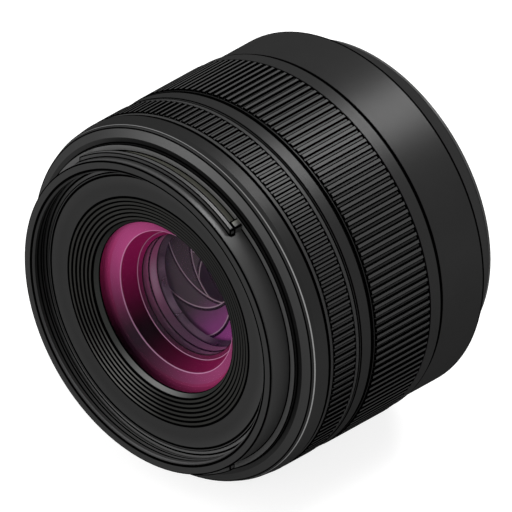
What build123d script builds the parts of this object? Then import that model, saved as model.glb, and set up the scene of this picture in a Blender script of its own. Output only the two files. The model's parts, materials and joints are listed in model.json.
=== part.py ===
from build123d import *
import os
from math import asin, cos, degrees, hypot, radians, sin, sqrt

os.makedirs("parts", exist_ok=True)

# A compact prime lens with an aperture ring and a manual focus ring. Lengths in mm, angles in degrees.
# Every piece is drawn with the optical axis along z, from the mount plane at 0 forward to the front rim,
# and is laid down on saving: forward becomes -Y, and the drawing's y becomes +Z, which is up.
# Angles are seen from the front, counterclockwise from +X.

# Clearances
run_gap = 0.05
ring_gap = 0.12
fit_gap = 0.02
pin_gap = 0.04
head_gap = 0.1
tip_gap = 0.1
window_gap = 0.2
part_gap = 0.3

# Reach of a cutter past the faces that it cuts
over = 1.0

# Screws: shank radius, head radius, head height
front_screw = (0.6, 1.1, 0.5)
seat_screw = (0.6, 1.1, 0.5)
barrel_screw = (0.7, 1.3, 1.2)
cell_screw = (0.5, 0.9, 0.5)
board_screw = (0.5, 1.0, 0.5)
mount_screw = (0.85, 1.5, 1.0)
key_screw = (0.6, 1.1, 0.6)

# Iris: the opening, the blades round it, and the pivots outside them
blade_count = 7
iris_opening_r = 9.35
blade_cover = 0.35
blade_width = 6.0
blade_thick = 0.08
blade_pitch = 0.13
blade_first_angle = 18.3
blade_root_angle = -9.0
blade_tip_angle = 112.0
blade_shoulder_angle = 70.0
blade_tip_width = 0.8
blade_tip_swell = 4.7
pivot_room = 1.5
ear_r = 1.15
neck_depth = 0.6
neck_start_angle = -4.0
neck_end_angle = 12.0
pivot_pin_r = 0.45
drive_pin_r = 0.4
drive_arm = 2.6
blade_turn = 28.6
drive_pin_mid_angle = 90.0
click_count = 12
click_step = 3.75
clicks_from_open = 9
base_thick = 0.8
drive_ring_thick = 0.6
drive_ring_inset = 0.6
cover_room = 2.4
cover_wall = 0.9
cover_thick = 0.5
cover_flare = 0.5
cover_hood_wall = 0.65
cover_hood_len = 0.4
plate_gap = 0.1
arm_angle = 20.0
arm_width = 5.0
arm_hook = 1.3
key_pin_r = 0.8
key_pin_inset = 0.4
key_pin_cover = 1.0

# Main barrel and the rings round it
seat_rib_lip = 1.0
seat_rib_thick = 1.0
iris_set_back = 0.43
screw_margin = 0.75
barrel_wall = 2.8
ring_wall = 1.95
middle_band_inset = 0.1
spigot_step = 1.0
cell_flange_step = 1.5
barrel_front_lip = 1.3
barrel_front_ledge = 1.2
rear_flange_thick = 1.5
rear_flange_lip = 0.5

# Radii of the main barrel and its rings, from the iris outward
blade_inner_r = iris_opening_r + blade_cover
blade_outer_r = blade_inner_r + blade_width
pivot_circle_r = blade_outer_r + pivot_room
cover_inner_r = pivot_circle_r + cover_room
cover_wall_r = cover_inner_r + cover_wall
cover_hood_r = iris_opening_r + cover_flare + cover_hood_wall
drive_ring_r = cover_inner_r - part_gap
drive_ring_bore_r = blade_inner_r + drive_ring_inset
seat_rib_r = cover_wall_r + seat_rib_lip
seat_screw_circle_r = seat_rib_r + screw_margin + seat_screw[1]
barrel_bore_r = seat_screw_circle_r + screw_margin + seat_screw[1]
land_r = barrel_bore_r + barrel_wall
barrel_r = land_r + run_gap + ring_wall
middle_band_r = barrel_r - middle_band_inset
spigot_r = land_r - spigot_step
cell_flange_r = spigot_r - cell_flange_step
barrel_front_bore_r = cell_flange_r - barrel_front_lip
key_pin_inner_r = barrel_bore_r + key_pin_inset
key_pin_outer_r = land_r + key_pin_cover
arm_reach_r = key_pin_inner_r + arm_hook
barrel_screw_circle_r = barrel_bore_r - barrel_screw[0] - part_gap
rear_flange_bore_r = barrel_screw_circle_r - barrel_screw[0] - rear_flange_lip

# Outer shells, lengths from the mount plane forward
mount_step = 0.8
rear_taper_len = 4.27
rear_band_len = 9.5
focus_ring_len = 15.6
middle_band_len = 2.5
aperture_ring_len = 6.8
front_band_len = 3.4
shoulder_len = 1.3
hood_flange_len = 1.31
hood_land_len = 4.27
filter_depth = 2.5

# Edges and insets of the outer shells
edge_chamfer = 0.15
crest_round = 0.3
crest_rise = 0.66
crest_flat = 0.85
crest_inset = 0.55
shoulder_inset = 0.2
lip_inset = 0.15
rear_barrel_inset = 0.44
rear_end_lip = 0.68

# Grips
focus_ribs = 148
focus_rib_share = 0.56
focus_grip_depth = 0.3
focus_grip_thick = 1.0
focus_front_lip = 0.75
focus_rear_lip = 2.75
aperture_ribs = 158
aperture_rib_share = 0.5
aperture_grip_depth = 0.25
aperture_front_lip = 0.95
aperture_rear_lip = 1.0

# Front glass, the ring that holds it, the stepped baffle, the name ring and the filter thread
front_glass_r = 14.7
front_glass_seat = 1.95
front_glass_edge = 1.3
front_glass_ledge = 0.9
front_glass_curve = 60.0
front_ring_lap = 0.55
front_ring_thread = 0.5
front_ring_top = 1.0
front_ring_lip = 0.1
baffle_shoulder = 0.16
baffle_steps = 6
baffle_step_r = 0.69
baffle_step_depth = 0.15
baffle_seat = 1.27
baffle_thick = 1.3
name_width = 4.18
name_thick = 0.8
name_lip_depth = 0.2
name_bevel = 0.1
thread_step = 0.92
thread_relief = 0.5
thread_relief_len = 0.2
filter_chamfer = 0.4
rim_wall = 1.9
web_thick = 1.2

# Hood bayonet: a land, a flange, and two lugs whose end faces are square to X
hood_flange_step = 1.07
lug_height = 0.75
lug_half_width = 15.9
lug_len = 0.99
lug_back = 1.62
lug_stop = 1.06
lug_root_depth = 0.5

# Front lens cell, its depths measured from the name ring's face
cell_flange_thick = 1.3
cell_body_wall = 1.8
cell_tail_wall = 3.75
cell_taper_len = 1.5
cell_tube_inset = 0.35
cone_depth = 4.0
cone_flare = 1.05
second_glass_r = 10.4
second_glass_seat = 7.1
second_glass_edge = 1.2
second_glass_ledge = 0.5
second_front_curve = 28.0
second_rear_curve = 60.0
second_ring_depth = 6.5
second_ring_wall = 0.35
second_ring_len = 0.5
second_ring_lip = 0.1

# Radii at the front, from the glass outward
front_glass_ledge_r = front_glass_r - front_glass_ledge
front_ring_bore = front_glass_r - front_ring_lap
front_ring_thread_r = front_glass_r + front_ring_thread
inner_edge_r = front_glass_r + baffle_shoulder
baffle_top_r = inner_edge_r + baffle_steps * baffle_step_r
baffle_outer_r = baffle_top_r + baffle_seat
name_outer_r = baffle_top_r + name_width
filter_r = name_outer_r + thread_step
hood_land_r = filter_r + rim_wall
hood_flange_r = hood_land_r + hood_flange_step
lug_r = hood_land_r + lug_height
crest_r = barrel_r - crest_inset
shoulder_r = barrel_r - shoulder_inset
cell_tube_r = baffle_outer_r - cell_tube_inset
cell_body_r = front_ring_thread_r + cell_body_wall
second_ring_r = second_glass_r + second_ring_wall
cell_bore_r = second_glass_r - second_glass_ledge
second_ring_bore = cell_bore_r + pin_gap
cell_tail_r = second_ring_r + cell_tail_wall
cone_r = second_ring_r + cone_flare

# Click stop under the aperture ring
click_angle = 180.0
ball_r = 0.6
notch_depth = 0.28
click_hole_floor = 0.4
click_coil_r = 0.42
click_wire_r = 0.1
click_place = 0.72
click_coil_turns = 3

# Focusing mechanism, from the barrel's bore inward
focus_turn = 90.0
focus_travel = 3.6
cam_room = 3.3
cam_wall = 1.25
guide_wall = 1.0
guide_flange_thick = 1.0
guide_rear_gap = 0.8
cam_stop_thick = 1.0
cam_stop_lip = 0.1
carriage_gap = 0.08
follower_count = 3
follower_r = 1.0
follower_place = 7.3
follower_angle = 50.0
focus_key_width = 4.0
focus_key_len = 3.0
focus_key_place = 3.3
focus_key_angle = 130.0
window_margin = 1.5

# Focus carriage and its glass, its lengths measured from the followers
carriage_wall = 1.3
carriage_front_len = 5.2
carriage_rear_len = 6.6
carriage_web_front = 0.8
carriage_web_len = 1.6
hub_wall = 1.4
hub_front_len = 4.8
hub_rear_len = 5.8
doublet_r = 9.6
doublet_ledge = 0.8
doublet_front_edge = 2.7
doublet_rear_edge = 0.9
doublet_front_curve = -40.0
doublet_cement_curve = 45.0
doublet_rear_curve = -34.0
cement_gap = 0.01
doublet_wall = 1.2
fifth_r = 11.0
fifth_ledge = 1.0
fifth_edge = 2.6
fifth_front_curve = -60.0
fifth_rear_curve = -30.0
glass_ring_len = 0.9
glass_ring_wall = 0.8

# Rear glass, its cell and the mount, from the axis outward
rear_glass_r = 12.4
rear_glass_set = 0.3
rear_glass_edge = 2.9
rear_glass_ledge = 0.9
rear_glass_front_curve = 38.0
rear_glass_rear_curve = -70.0
rear_ring_len = 1.0
rear_cell_wall = 1.26
rear_cell_step = 0.5
rear_cell_flange = 4.3
rear_cell_flange_thick = 1.2
rear_cell_inset = 2.0
rear_cover_thick = 0.6
rear_web_len = 3.7
rear_bore_room = 3.6
spigot_wall = 1.75
spigot_len = 4.6
mount_flange = 6.85
mount_flange_thick = 2.3
bayonet_lug_height = 1.7
bayonet_lug_start = 2.6
bayonet_lug_len = 1.4
bayonet_lug_angle = 52.0
bayonet_lug_count = 3
lock_hole_r = 1.25
lock_hole_depth = 1.5
lock_hole_step = 3.85
lock_hole_angle = 0.0
gasket_width = 0.5
gasket_proud = 0.6

# Contacts and electrics
contact_block_angle = 270.0
contact_block_half = 32.0
contact_block_set = 0.8
contact_block_inset = 1.2
contact_count = 10
contact_r = 0.5
contact_proud = 0.2
contact_spacing = 6.0
block_gap_angle = 1.0
block_gap = 0.1
board_set = 2.3
board_thick = 0.8
board_gap = 0.6
standoff_r = 1.2
standoff_step = 2.6
chip_size = (3.6, 2.6, 0.7)
chip_angles = (45.0, 95.0, 165.0, 215.0, 330.0)
flex_width = 7.0
flex_thick = 0.15
flex_step = 1.9
flex_lap = 2.0
flex_gap = 0.3

# Places of the screws
screw_count = 3
front_screw_angle = 30.0
front_screw_step = 1.45
front_screw_bite = 1.1
iris_screw_angle = 80.0
guide_screw_angle = 20.0
seat_screw_bite = 0.8
barrel_screw_angle = 60.0
cell_screw_angle = 0.0
cell_screw_step = 2.7
cell_screw_bite = 1.5
board_screw_angle = 15.0
board_screw_bite = 2.1
mount_screw_count = 4
mount_screw_angle = 45.0
mount_screw_step = 3.55
mount_screw_bite = 2.5
slot_width = 0.3
slot_depth = 0.25

# Radii of the focusing mechanism
cam_outer_r = barrel_bore_r - cam_room
cam_r = cam_outer_r - cam_wall
guide_outer_r = cam_r - run_gap
guide_r = guide_outer_r - guide_wall
cam_stop_r = cam_outer_r + cam_stop_lip
carriage_r = guide_r - carriage_gap
carriage_hub_r = fifth_r + hub_wall
doublet_bore_r = doublet_r - doublet_ledge
fifth_clear_r = fifth_r - fifth_ledge
focus_core_r = barrel_r - focus_grip_thick
focus_key_top_r = focus_core_r - window_gap
click_hole_floor_r = barrel_bore_r + click_hole_floor

# Radii at the rear
web_bore_r = rear_glass_r + rear_cell_wall + 2 * fit_gap
rear_cell_flange_r = web_bore_r + rear_cell_flange
mount_bore_r = web_bore_r + rear_bore_room
spigot_outer_r = mount_bore_r + spigot_wall
mount_ring_r = spigot_outer_r + mount_flange
bayonet_lug_r = spigot_outer_r + bayonet_lug_height
lock_hole_circle_r = spigot_outer_r + lock_hole_step
rear_end_r = mount_ring_r + rear_end_lip
rear_barrel_r = barrel_r - rear_barrel_inset
contact_block_inner_r = web_bore_r + contact_block_set
contact_circle_r = (contact_block_inner_r + mount_bore_r) / 2
board_inner_r = rear_cell_flange_r + board_gap
board_outer_r = barrel_bore_r - board_gap
standoff_circle_r = board_inner_r + standoff_step
flex_circle_r = web_bore_r + flex_step
front_screw_circle_r = baffle_outer_r + front_screw_step
cell_screw_circle_r = web_bore_r + cell_screw_step
mount_screw_circle_r = spigot_outer_r + mount_screw_step

# Stations along the axis, from the mount plane forward
shell_rear_h = mount_step
taper_h = shell_rear_h + rear_taper_len
rear_front_h = taper_h + rear_band_len
focus_rear_h = rear_front_h + ring_gap
focus_front_h = focus_rear_h + focus_ring_len
band_rear_h = focus_front_h + ring_gap
band_front_h = band_rear_h + middle_band_len
aperture_rear_h = band_front_h + ring_gap
aperture_front_h = aperture_rear_h + aperture_ring_len
front_rear_h = aperture_front_h + ring_gap
crest_h = front_rear_h + front_band_len
hood_flange_h = crest_h + hood_flange_len
rim_h = hood_flange_h + hood_land_len
name_h = rim_h - filter_depth
pocket_h = name_h - name_thick
web_back_h = pocket_h - web_thick
cell_flange_back_h = web_back_h - cell_flange_thick
cell_front_h = name_h - baffle_thick

# Iris stations
iris_seat_h = aperture_rear_h - iris_set_back
base_front_h = iris_seat_h + base_thick
blades_h = base_front_h + plate_gap
drive_rear_h = blades_h + blade_count * blade_pitch
drive_front_h = drive_rear_h + drive_ring_thick
cover_rear_h = drive_front_h + plate_gap
cover_front_h = cover_rear_h + cover_thick
cover_top_h = cover_front_h + cover_hood_len
cell_rear_h = cover_top_h + ring_gap

# Focusing stations
web_rear_h = mount_flange_thick
web_front_h = web_rear_h + rear_web_len
board_h = web_front_h + board_set
guide_rear_h = board_h + board_thick + guide_rear_gap
seat_rib_back_h = iris_seat_h - seat_rib_thick
guide_flange_back_h = seat_rib_back_h - guide_flange_thick
cam_front_h = guide_flange_back_h - ring_gap
cam_rear_h = guide_rear_h + cam_stop_thick + 2 * ring_gap
follower_h = focus_rear_h + follower_place
focus_key_h = focus_rear_h + focus_key_place
carriage_front_h = follower_h + carriage_front_len
carriage_rear_h = follower_h - carriage_rear_len
carriage_web_front_h = follower_h + carriage_web_front
hub_front_h = follower_h + hub_front_len
hub_rear_h = follower_h - hub_rear_len
doublet_front_h = hub_front_h - glass_ring_len
doublet_rear_h = doublet_front_h - doublet_front_edge - doublet_rear_edge
fifth_front_h = doublet_rear_h - doublet_wall

# Rear stations
rear_cell_rear_h = rear_cell_inset - spigot_len
rear_glass_front_h = web_rear_h - rear_glass_set
contact_block_end_h = contact_block_inset - spigot_len

# Turns
aperture_per_blade = click_count * click_step / blade_turn
rest_turn = clicks_from_open * click_step
blade_rest = rest_turn / aperture_per_blade


def lathe(points):
    """Solid of revolution about the optical axis from (radius, height) corners."""
    outline = Polyline([(r, 0, h) for r, h in points], close=True)
    return revolve(make_face(outline), axis=Axis.Z)


def tube(inner, outer, low, high):
    """Plain ring between two heights."""
    return lathe([(inner, low), (outer, low), (outer, high), (inner, high)])


def turned(shape, angle):
    """The shape turned about the optical axis."""
    return Rot(0, 0, angle) * shape


def around(shape, count, first=0.0):
    """Copies of the shape, evenly spaced about the optical axis."""
    return [turned(shape, first + i * 360 / count) for i in range(count)]


def polar(radius, angle):
    """A point in the drawing plane."""
    return (radius * cos(radians(angle)), radius * sin(radians(angle)))


def rod(radius, circle_r, angle, low, high):
    """Cylinder along the optical axis, standing on a pitch circle."""
    x, y = polar(circle_r, angle)
    return Pos(x, y, low) * Cylinder(radius, high - low, align=(Align.CENTER, Align.CENTER, Align.MIN))


def spoke(radius, inner, outer, angle, height):
    """Cylinder along a radius of the barrel."""
    x, y = polar(inner, angle)
    side = Plane(origin=(x, y, height), z_dir=(cos(radians(angle)), sin(radians(angle)), 0))
    return side * Cylinder(radius, outer - inner, align=(Align.CENTER, Align.CENTER, Align.MIN))


def block(width, inner, outer, angle, low, high):
    """Box that lies along a radius, wide across it."""
    box = Pos((inner + outer) / 2, 0, (low + high) / 2) * Box(outer - inner, width, high - low)
    return turned(box, angle)


def sector(inner, outer, start, end, low, high):
    """Part of a ring between two angles."""
    corners = [(inner, 0, low), (outer, 0, low), (outer, 0, high), (inner, 0, high)]
    face = make_face(Polyline(corners, close=True))
    return turned(revolve(face, axis=Axis.Z, revolution_arc=end - start), start)


def screw(size, circle_r, angle, head_h, tip_h):
    """Slotted screw along the axis: the head stands on head_h, on the side away from the tip."""
    shank_r, head_r, head_len = size
    way = 1 if head_h > tip_h else -1
    low, high = sorted((tip_h, head_h))
    top_h = head_h + way * head_len
    head_low, head_high = sorted((head_h, top_h))
    body = rod(shank_r, circle_r, angle, low, high) + rod(head_r, circle_r, angle, head_low, head_high)
    x, y = polar(circle_r, angle)
    return body - Pos(x, y, top_h) * Box(3 * head_r, slot_width, 2 * slot_depth)


def screws(size, circle_r, count, first, head_h, tip_h):
    """Ring of identical screws."""
    return [screw(size, circle_r, first + i * 360 / count, head_h, tip_h) for i in range(count)]


def holes(size, circle_r, count, first, head_h, tip_h, pocket=0.0):
    """Holes for a ring of screws, with a pocket for each head where one is asked for."""
    shank_r, head_r, _ = size
    low, high = sorted((tip_h, head_h))
    made = []
    for i in range(count):
        angle = first + i * 360 / count
        made.append(rod(shank_r + fit_gap, circle_r, angle, low - fit_gap, high + fit_gap))
        if pocket:
            top_h = head_h + pocket if head_h > tip_h else head_h - pocket
            low_p, high_p = sorted((head_h, top_h))
            made.append(rod(head_r + head_gap, circle_r, angle, low_p, high_p))
    return made


def cut(shape, tools):
    """The shape less every tool."""
    for tool in tools:
        shape = shape - tool
    return shape


def solids(pieces):
    """One group that holds the separate solids of several pieces."""
    return Compound([solid for piece in pieces for solid in piece.solids()])


def save(name, shape):
    """Lay the piece down along -Y and write it."""
    laid = Plane.XZ.location * shape
    laid.label = name
    export_step(laid, f"parts/{name}.step")


def sag(curve, radius):
    """Height lost by a spherical surface between its centre and a radius."""
    side = 1 if curve > 0 else -1
    return side * (abs(curve) - sqrt(curve * curve - radius * radius))


def glass(edge_r, clear_r, front_h, rear_h, front_curve, rear_curve):
    """Lens element. The heights are those of its edge; a positive curve has its centre behind the surface."""
    front_top = front_h + sag(front_curve, clear_r)
    rear_top = rear_h + sag(rear_curve, clear_r)
    half = clear_r / 2
    front_mid = (half, 0, front_top - sag(front_curve, half))
    rear_mid = (half, 0, rear_top - sag(rear_curve, half))
    front = ThreePointArc((clear_r, 0, front_h), front_mid, (0, 0, front_top))
    rear = ThreePointArc((0, 0, rear_top), rear_mid, (clear_r, 0, rear_h))
    edge = Polyline((clear_r, 0, rear_h), (edge_r, 0, rear_h), (edge_r, 0, front_h), (clear_r, 0, front_h))
    axis_line = Line((0, 0, front_top), (0, 0, rear_top))
    return revolve(make_face([front, axis_line, rear, edge]), axis=Axis.Z)


def ribbed(count, share, inner, root, tip, low, high):
    """Straight-ribbed ring: each rib takes its share of the pitch, and a groove takes the rest."""
    pitch = 360 / count
    points = []
    for i in range(count):
        start = i * pitch
        points += [polar(tip, start), polar(tip, start + pitch * share)]
        points += [polar(root, start + pitch * share), polar(root, start + pitch)]
    face = make_face(Polyline(points, close=True)) - Circle(inner)
    return Pos(0, 0, low) * extrude(face, high - low)


# Front ring: rim, filter thread, hood bayonet and the smooth band before the aperture ring
def front_ring():
    shell = lathe([
        (filter_r + thread_relief, name_h - name_lip_depth),
        (filter_r + thread_relief, name_h + thread_relief_len),
        (filter_r, name_h + thread_relief_len),
        (filter_r, rim_h - filter_chamfer),
        (filter_r + filter_chamfer, rim_h),
        (hood_land_r - edge_chamfer, rim_h),
        (hood_land_r, rim_h - edge_chamfer),
        (hood_land_r, hood_flange_h),
        (hood_flange_r, hood_flange_h),
        (hood_flange_r, crest_h + crest_rise),
        (hood_flange_r + crest_flat, crest_h + crest_rise),
        (crest_r - crest_round, crest_h),
        (crest_r, crest_h - crest_round),
        (shoulder_r, crest_h - shoulder_len),
        (barrel_r, front_rear_h + edge_chamfer),
        (barrel_r - edge_chamfer, front_rear_h),
        (spigot_r + fit_gap, front_rear_h),
        (spigot_r + fit_gap, cell_flange_back_h),
        (cell_flange_r + fit_gap, cell_flange_back_h),
        (cell_flange_r + fit_gap, web_back_h),
        (baffle_outer_r + fit_gap, web_back_h),
        (baffle_outer_r + fit_gap, pocket_h),
        (name_outer_r + fit_gap, pocket_h),
        (name_outer_r + fit_gap, name_h - name_lip_depth),
    ])
    for side in (0, 180):
        shell = shell + turned(hood_lug(), side)
    seats = holes(front_screw, front_screw_circle_r, screw_count, front_screw_angle,
                  pocket_h - front_screw[2], web_back_h, front_screw[2])
    return cut(shell, seats)


def hood_lug():
    """One bayonet lug above the axis: a ridge, and a stop wall at its +X end."""
    ridge_front = rim_h - (hood_land_len - lug_back - lug_len)
    ridge_rear = ridge_front - lug_len
    root_r = hood_land_r - lug_root_depth
    ridge = tube(root_r, lug_r, ridge_rear, ridge_front)
    wall = tube(root_r, lug_r, hood_flange_h, ridge_rear)
    span = Box(2 * lug_half_width, 2 * lug_r, 2 * hood_land_len)
    stop = Box(lug_stop, 2 * lug_r, 2 * hood_land_len)
    ridge = ridge & (Pos(0, lug_r, ridge_front) * span)
    wall = wall & (Pos(lug_half_width - lug_stop / 2, lug_r, ridge_front) * stop)
    return ridge + wall


def front_screws():
    return solids(screws(front_screw, front_screw_circle_r, screw_count, front_screw_angle,
                         pocket_h - front_screw[2], web_back_h - front_screw_bite))


def name_ring():
    return lathe([
        (baffle_top_r + fit_gap, pocket_h),
        (name_outer_r, pocket_h),
        (name_outer_r, name_h - name_bevel),
        (name_outer_r - name_bevel, name_h),
        (baffle_top_r + fit_gap, name_h),
    ])


def front_baffle():
    """Stepped ring that falls towards the glass."""
    points = [(baffle_outer_r, cell_front_h), (baffle_outer_r, pocket_h), (baffle_top_r, pocket_h)]
    height = name_h
    radius = baffle_top_r
    points.append((radius, height))
    for _ in range(baffle_steps):
        radius -= baffle_step_r
        points.append((radius, height))
        height -= baffle_step_depth
        points.append((radius, height))
    points.append((radius, cell_front_h))
    return lathe(points)


def front_retaining_ring():
    inner = front_ring_bore
    neck = inner_edge_r - fit_gap
    foot_h = name_h - front_glass_seat
    return lathe([
        (inner, foot_h),
        (front_ring_thread_r, foot_h),
        (front_ring_thread_r, cell_front_h),
        (neck, cell_front_h),
        (neck, name_h - front_ring_top),
        (inner, foot_h + front_ring_lip),
    ])


def front_glass():
    front = name_h - front_glass_seat
    return glass(front_glass_r, front_glass_ledge_r, front, front - front_glass_edge,
                 front_glass_curve, front_glass_curve)


# Front lens cell: a stepped tube that holds the two front elements
def front_cell():
    ledge_h = name_h - front_glass_seat - front_glass_edge
    second_h = name_h - second_glass_seat
    shell = lathe([
        (front_ring_thread_r + fit_gap, cell_front_h),
        (cell_tube_r, cell_front_h),
        (cell_tube_r, web_back_h),
        (cell_flange_r, web_back_h),
        (cell_flange_r, cell_flange_back_h),
        (cell_body_r, cell_flange_back_h),
        (cell_body_r, name_h - second_ring_depth),
        (cell_tail_r, name_h - second_ring_depth - cell_taper_len),
        (cell_tail_r, cell_rear_h),
        (cell_bore_r, cell_rear_h),
        (cell_bore_r, second_h - second_glass_edge),
        (second_glass_r + fit_gap, second_h - second_glass_edge),
        (second_glass_r + fit_gap, second_h),
        (second_ring_r, second_h),
        (second_ring_r, name_h - second_ring_depth),
        (cone_r, name_h - cone_depth),
        (front_glass_ledge_r, ledge_h),
        (front_glass_r + fit_gap, ledge_h),
        (front_glass_r + fit_gap, name_h - front_glass_seat),
        (front_ring_thread_r + fit_gap, name_h - front_glass_seat),
    ])
    taps = holes(front_screw, front_screw_circle_r, screw_count, front_screw_angle, web_back_h,
                 web_back_h - front_screw_bite)
    return cut(shell, taps)


def second_glass():
    front = name_h - second_glass_seat
    return glass(second_glass_r, cell_bore_r, front, front - second_glass_edge,
                 second_front_curve, second_rear_curve)


def second_retaining_ring():
    foot_h = name_h - second_glass_seat
    outer = second_ring_r - fit_gap
    return lathe([
        (second_ring_bore, foot_h),
        (outer, foot_h),
        (outer, foot_h + second_ring_len),
        (second_ring_bore, foot_h + second_ring_lip),
    ])


# Main barrel: the tube that everything is fastened to
def main_barrel():
    shell = lathe([
        (barrel_front_bore_r, cell_flange_back_h),
        (spigot_r, cell_flange_back_h),
        (spigot_r, front_rear_h),
        (land_r, front_rear_h),
        (land_r, band_front_h),
        (middle_band_r - edge_chamfer, band_front_h),
        (middle_band_r, band_front_h - edge_chamfer),
        (middle_band_r, band_rear_h + edge_chamfer),
        (middle_band_r - edge_chamfer, band_rear_h),
        (land_r, band_rear_h),
        (land_r, web_front_h),
        (rear_flange_bore_r, web_front_h),
        (rear_flange_bore_r, web_front_h + rear_flange_thick),
        (barrel_bore_r, web_front_h + rear_flange_thick),
        (barrel_bore_r, seat_rib_back_h),
        (seat_rib_r, seat_rib_back_h),
        (seat_rib_r, iris_seat_h),
        (barrel_bore_r, iris_seat_h),
        (barrel_bore_r, cell_flange_back_h - barrel_front_ledge),
        (barrel_front_bore_r, cell_flange_back_h - barrel_front_ledge),
    ])
    arm_mid = (drive_rear_h + drive_front_h) / 2
    arm_half = degrees(asin(arm_width / 2 / barrel_bore_r)) + window_margin
    iris_window = sector(barrel_bore_r - over, land_r + over, arm_angle - rest_turn - arm_half,
                         arm_angle + click_count * click_step - rest_turn + arm_half,
                         arm_mid - key_pin_r - window_gap, arm_mid + key_pin_r + window_gap)
    key_half = degrees(asin(focus_key_width / 2 / barrel_bore_r)) + window_margin
    focus_window = sector(barrel_bore_r - over, land_r + over, focus_key_angle - key_half,
                          focus_key_angle + focus_turn + key_half,
                          focus_key_h - focus_key_len / 2 - window_gap,
                          focus_key_h + focus_key_len / 2 + window_gap)
    ball_hole = spoke(ball_r + run_gap, click_hole_floor_r, land_r + over, click_angle, click_h())
    taps = holes(seat_screw, seat_screw_circle_r, screw_count, iris_screw_angle, iris_seat_h,
                 iris_seat_h - seat_screw_bite)
    taps += holes(seat_screw, seat_screw_circle_r, screw_count, guide_screw_angle, seat_rib_back_h,
                  seat_rib_back_h + seat_screw_bite)
    taps += holes(barrel_screw, barrel_screw_circle_r, screw_count, barrel_screw_angle, web_front_h,
                  web_front_h + rear_flange_thick)
    return cut(shell, [iris_window, focus_window, ball_hole] + taps)


def click_h():
    """Height of the click ball, in the front half of the aperture ring."""
    return aperture_rear_h + click_place * aperture_ring_len


# Aperture ring and what turns with it
def aperture_ring():
    root_r = barrel_r - aperture_grip_depth
    lip_r = barrel_r - lip_inset
    inner = land_r + run_gap
    rib_low = aperture_rear_h + aperture_rear_lip
    rib_high = aperture_front_h - aperture_front_lip
    rear_lip = lathe([
        (inner, aperture_rear_h),
        (lip_r - edge_chamfer, aperture_rear_h),
        (lip_r, aperture_rear_h + edge_chamfer),
        (lip_r, rib_low),
        (inner, rib_low),
    ])
    front_lip = lathe([
        (inner, rib_high),
        (lip_r, rib_high),
        (lip_r, aperture_front_h - edge_chamfer),
        (lip_r - edge_chamfer, aperture_front_h),
        (inner, aperture_front_h),
    ])
    ribs = ribbed(aperture_ribs, aperture_rib_share, inner, root_r, barrel_r, rib_low, rib_high)
    ring = ribs + rear_lip + front_lip
    arm_mid = (drive_rear_h + drive_front_h) / 2
    ring = ring - spoke(key_pin_r + fit_gap, inner - over, key_pin_outer_r + fit_gap, arm_angle, arm_mid)
    notch_r = ball_r + head_gap
    notch_centre = inner + notch_depth - notch_r
    notches = []
    for click in range(click_count + 1):
        angle = click_angle + (clicks_from_open - click) * click_step
        notches.append(rod(notch_r, notch_centre, angle, click_h() - notch_r, click_h() + notch_r))
    return cut(ring, notches)


def aperture_key():
    arm_mid = (drive_rear_h + drive_front_h) / 2
    return spoke(key_pin_r, key_pin_inner_r, key_pin_outer_r, arm_angle, arm_mid)


def click_ball():
    x, y = polar(land_r - run_gap - ball_r, click_angle)
    return Pos(x, y, click_h()) * Sphere(ball_r)


def click_spring():
    """Coil that pushes the ball outward from the floor of its hole."""
    low = click_hole_floor_r + click_wire_r + fit_gap
    high = land_r - run_gap - 2 * ball_r - click_wire_r - fit_gap
    path = Helix((high - low) / click_coil_turns, high - low, click_coil_r)
    start = Plane(origin=path @ 0, z_dir=path % 0)
    coil = sweep(start * Circle(click_wire_r), path=path, is_frenet=True)
    x, y = polar(low, click_angle)
    side = Plane(origin=(x, y, click_h()), z_dir=(cos(radians(click_angle)), sin(radians(click_angle)), 0))
    return side * coil


def drive_pin_at(turn):
    """Centre of a blade's drive pin in the barrel's frame, for the blade with its pivot at angle 0."""
    start = drive_pin_mid_angle - blade_turn / 2
    angle = start + turn
    return (pivot_circle_r + drive_arm * cos(radians(angle)), drive_arm * sin(radians(angle)))


def drive_slot():
    """Slot that steers one drive pin, in the drive ring's frame at rest."""
    steps = 12
    centres = []
    for i in range(steps + 1):
        turn = blade_turn * i / steps
        x, y = drive_pin_at(turn)
        back = radians(turn * aperture_per_blade - rest_turn)
        centres.append((x * cos(back) + y * sin(back), y * cos(back) - x * sin(back)))
    half = drive_pin_r + pin_gap
    left, right = [], []
    for i, (x, y) in enumerate(centres):
        ax, ay = centres[max(i - 1, 0)]
        bx, by = centres[min(i + 1, steps)]
        run = hypot(bx - ax, by - ay)
        nx, ny = -(by - ay) / run, (bx - ax) / run
        left.append((x + nx * half, y + ny * half))
        right.append((x - nx * half, y - ny * half))
    sides = [Spline(*left), Line(left[-1], right[-1]), Spline(*right[::-1]), Line(right[0], left[0])]
    slot = make_face(sides)
    for x, y in (centres[0], centres[-1]):
        slot = slot + Pos(x, y) * Circle(half)
    return slot


def iris_drive_ring():
    arm = block(arm_width, drive_ring_r - over, arm_reach_r, arm_angle, drive_rear_h, drive_front_h)
    ring = tube(drive_ring_bore_r, drive_ring_r, drive_rear_h, drive_front_h) + arm
    fork = block(2 * key_pin_r + 2 * fit_gap, key_pin_inner_r - window_gap, arm_reach_r + over, arm_angle,
                 drive_rear_h - over, drive_front_h + over)
    slot = Pos(0, 0, drive_rear_h - over) * extrude(drive_slot(), drive_ring_thick + 2 * over)
    return cut(ring, [fork] + around(slot, blade_count, blade_first_angle))


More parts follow.
